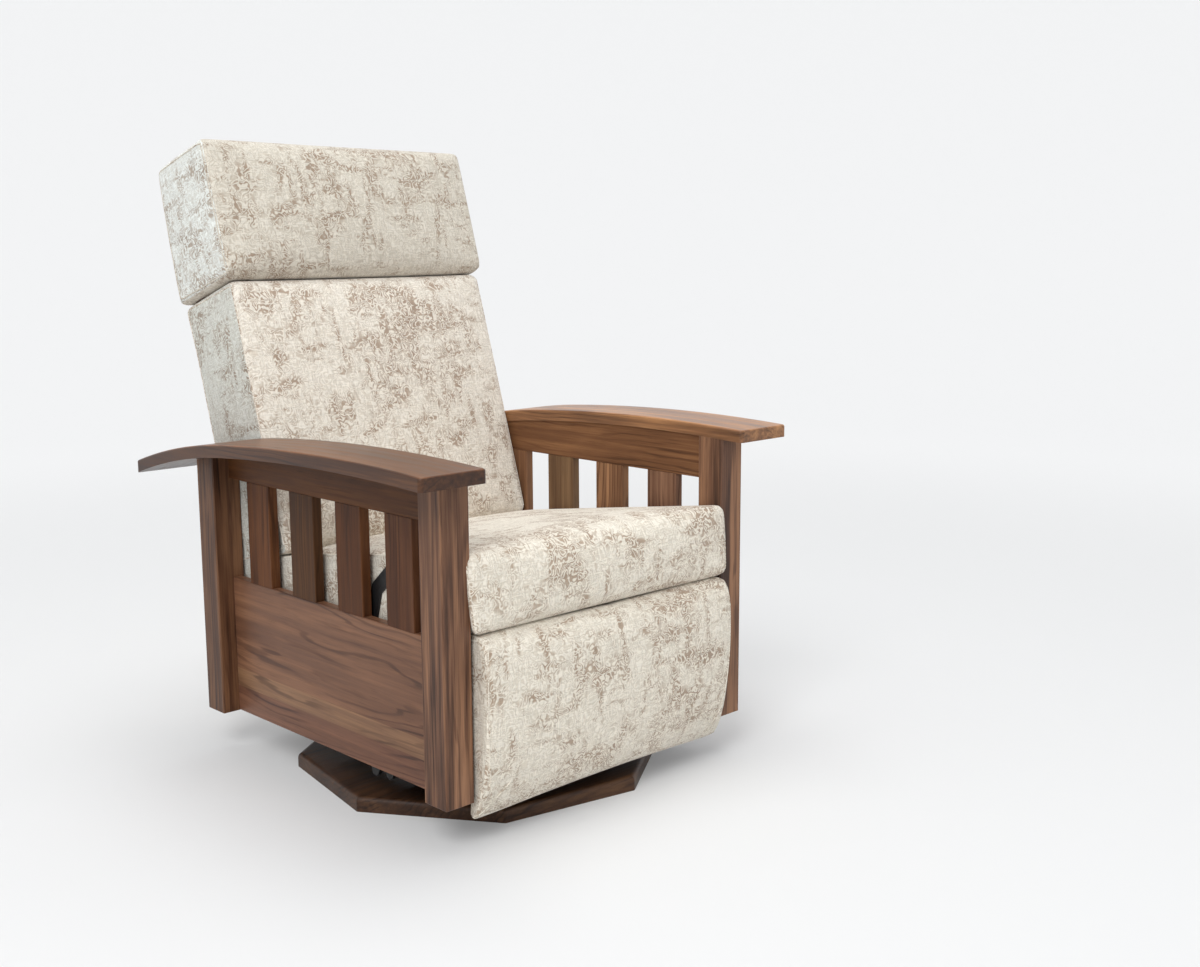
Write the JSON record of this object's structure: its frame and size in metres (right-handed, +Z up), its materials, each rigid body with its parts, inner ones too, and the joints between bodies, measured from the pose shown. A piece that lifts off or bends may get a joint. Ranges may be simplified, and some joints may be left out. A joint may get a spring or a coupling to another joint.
{
  "type": "swivel glider recliner",
  "caption": "Walnut swivel glider recliner with bowed arms, slatted sides, sloped seat, reclining back with headrest, fold-out footrest and an eight-sided base.",
  "frame": {"origin": "On the swivel axis at the underside of the floor plate.", "axes": "+Z up, the sitter faces -Y, +X is the sitter's left."},
  "size_m": [0.84, 0.9557, 1.1337],
  "materials": {
    "walnut": "satin walnut with straight and cathedral grain",
    "frame_wood": "plain hardwood and plywood, stained dark",
    "upholstery": "oatmeal chenille with worn taupe marks",
    "spring_wire": "oiled spring wire",
    "bright_steel": "zinc-plated steel",
    "grip": "dipped black vinyl",
    "black_steel": "black powder-coated strap and plate"
  },
  "bodies": {
    "base": {"base_plate": "walnut", "lower_swivel_plate": "black_steel", "lower_race": "black_steel", "bearing_balls": "bright_steel", "base_bolts": "bright_steel"},
    "turntable": {"upper_race": "black_steel", "upper_swivel_plate": "black_steel", "stand_arms": "black_steel", "stands": "black_steel", "stand_pins": "black_steel"},
    "rear_links": {"rear_glide_links": "black_steel"},
    "front_links": {"front_glide_links": "black_steel"},
    "chair": {"carriages": "black_steel", "carriage_pins": "black_steel", "arm_left": "walnut", "arm_right": "walnut", "front_post_left": "walnut", "front_post_right": "walnut", "rear_post_left": "walnut", "rear_post_right": "walnut", "side_panel_left": "walnut", "side_panel_right": "walnut", "top_rail_left": "walnut", "top_rail_right": "walnut", "slats_left": "walnut", "slats_right": "walnut", "seat_rail_left": "frame_wood", "seat_rail_right": "frame_wood", "seat_rail_front": "frame_wood", "seat_rail_rear": "frame_wood", "seat_springs": "spring_wire", "seat_cushion": "upholstery", "front_cross_rail": "frame_wood", "rear_rail": "walnut", "mechanism_plates": "black_steel", "plate_pins": "black_steel"},
    "drive": {"drive_links": "black_steel", "drive_pins": "black_steel", "drive_tube": "black_steel"},
    "brace": {"brace_links": "black_steel"},
    "carry": {"carry_links": "black_steel", "heel_rivets": "black_steel"},
    "steady": {"steady_links": "black_steel"},
    "footrest": {"footrest_rivets": "black_steel", "footrest_brackets": "black_steel", "footrest_board": "frame_wood", "footrest_pad": "upholstery"},
    "back": {"back_stile_left": "frame_wood", "back_stile_right": "frame_wood", "back_rail_low": "frame_wood", "back_rail_middle": "frame_wood", "back_rail_top": "frame_wood", "back_springs": "spring_wire", "back_brackets": "black_steel", "back_cushion": "upholstery", "headrest_cushion": "upholstery", "back_cover": "upholstery", "headrest_cover": "upholstery"},
    "lever": {"release_lever": "black_steel", "lever_grip": "grip"}
  },
  "joints": [
    {"name": "swivel", "type": "hinge", "parent": "base", "child": "turntable", "pos_m": [0, 0, 0.0345], "axis": [0, 0, 1], "continuous": true},
    {"name": "rear_link_swing", "type": "hinge", "parent": "turntable", "child": "rear_links", "pos_m": [0, 0.11, 0.205], "axis": [1, 0, 0], "range_deg": [-18, 18]},
    {"name": "front_link_swing", "type": "hinge", "parent": "turntable", "child": "front_links", "pos_m": [0, -0.11, 0.205], "axis": [1, 0, 0], "range_deg": [-18, 18]},
    {"name": "glide", "type": "hinge", "parent": "rear_links", "child": "chair", "pos_m": [0, 0.11, 0.087], "axis": [1, 0, 0], "range_deg": [-18, 18]},
    {"name": "footrest", "type": "hinge", "parent": "chair", "child": "drive", "pos_m": [0, -0.205, 0.288], "axis": [-1, 0, 0], "range_deg": [0, 86]},
    {"name": "brace_swing", "type": "hinge", "parent": "chair", "child": "brace", "pos_m": [0, -0.14354, 0.23679], "axis": [-1, 0, 0], "range_deg": [0, 86]},
    {"name": "carry_level", "type": "hinge", "parent": "drive", "child": "carry", "pos_m": [0, -0.12833, 0.11416], "axis": [-1, 0, 0], "range_deg": [-86, 0]},
    {"name": "steady_level", "type": "hinge", "parent": "drive", "child": "steady", "pos_m": [0, -0.10734, 0.06658], "axis": [-1, 0, 0], "range_deg": [-86, 0]},
    {"name": "footrest_turn", "type": "hinge", "parent": "carry", "child": "footrest", "pos_m": [0, -0.28582, 0.24538], "axis": [-1, 0, 0], "range_deg": [0, 86]},
    {"name": "recline", "type": "hinge", "parent": "chair", "child": "back", "pos_m": [0, 0.262, 0.3], "axis": [-1, 0, 0], "range_deg": [0, 40]},
    {"name": "release", "type": "hinge", "parent": "chair", "child": "lever", "pos_m": [-0.2911, -0.062, 0.301], "axis": [-1, 0, 0], "range_deg": [0, 15], "stiffness_Nm_per_rad": 2}
  ],
  "couplings": [
    {"joint": "rear_link_swing", "follows": "glide", "ratio": -1},
    {"joint": "front_link_swing", "follows": "glide", "ratio": -1},
    {"joint": "brace_swing", "follows": "footrest", "ratio": 1},
    {"joint": "carry_level", "follows": "footrest", "ratio": -1},
    {"joint": "steady_level", "follows": "footrest", "ratio": -1},
    {"joint": "footrest_turn", "follows": "footrest", "ratio": 1}
  ]
}
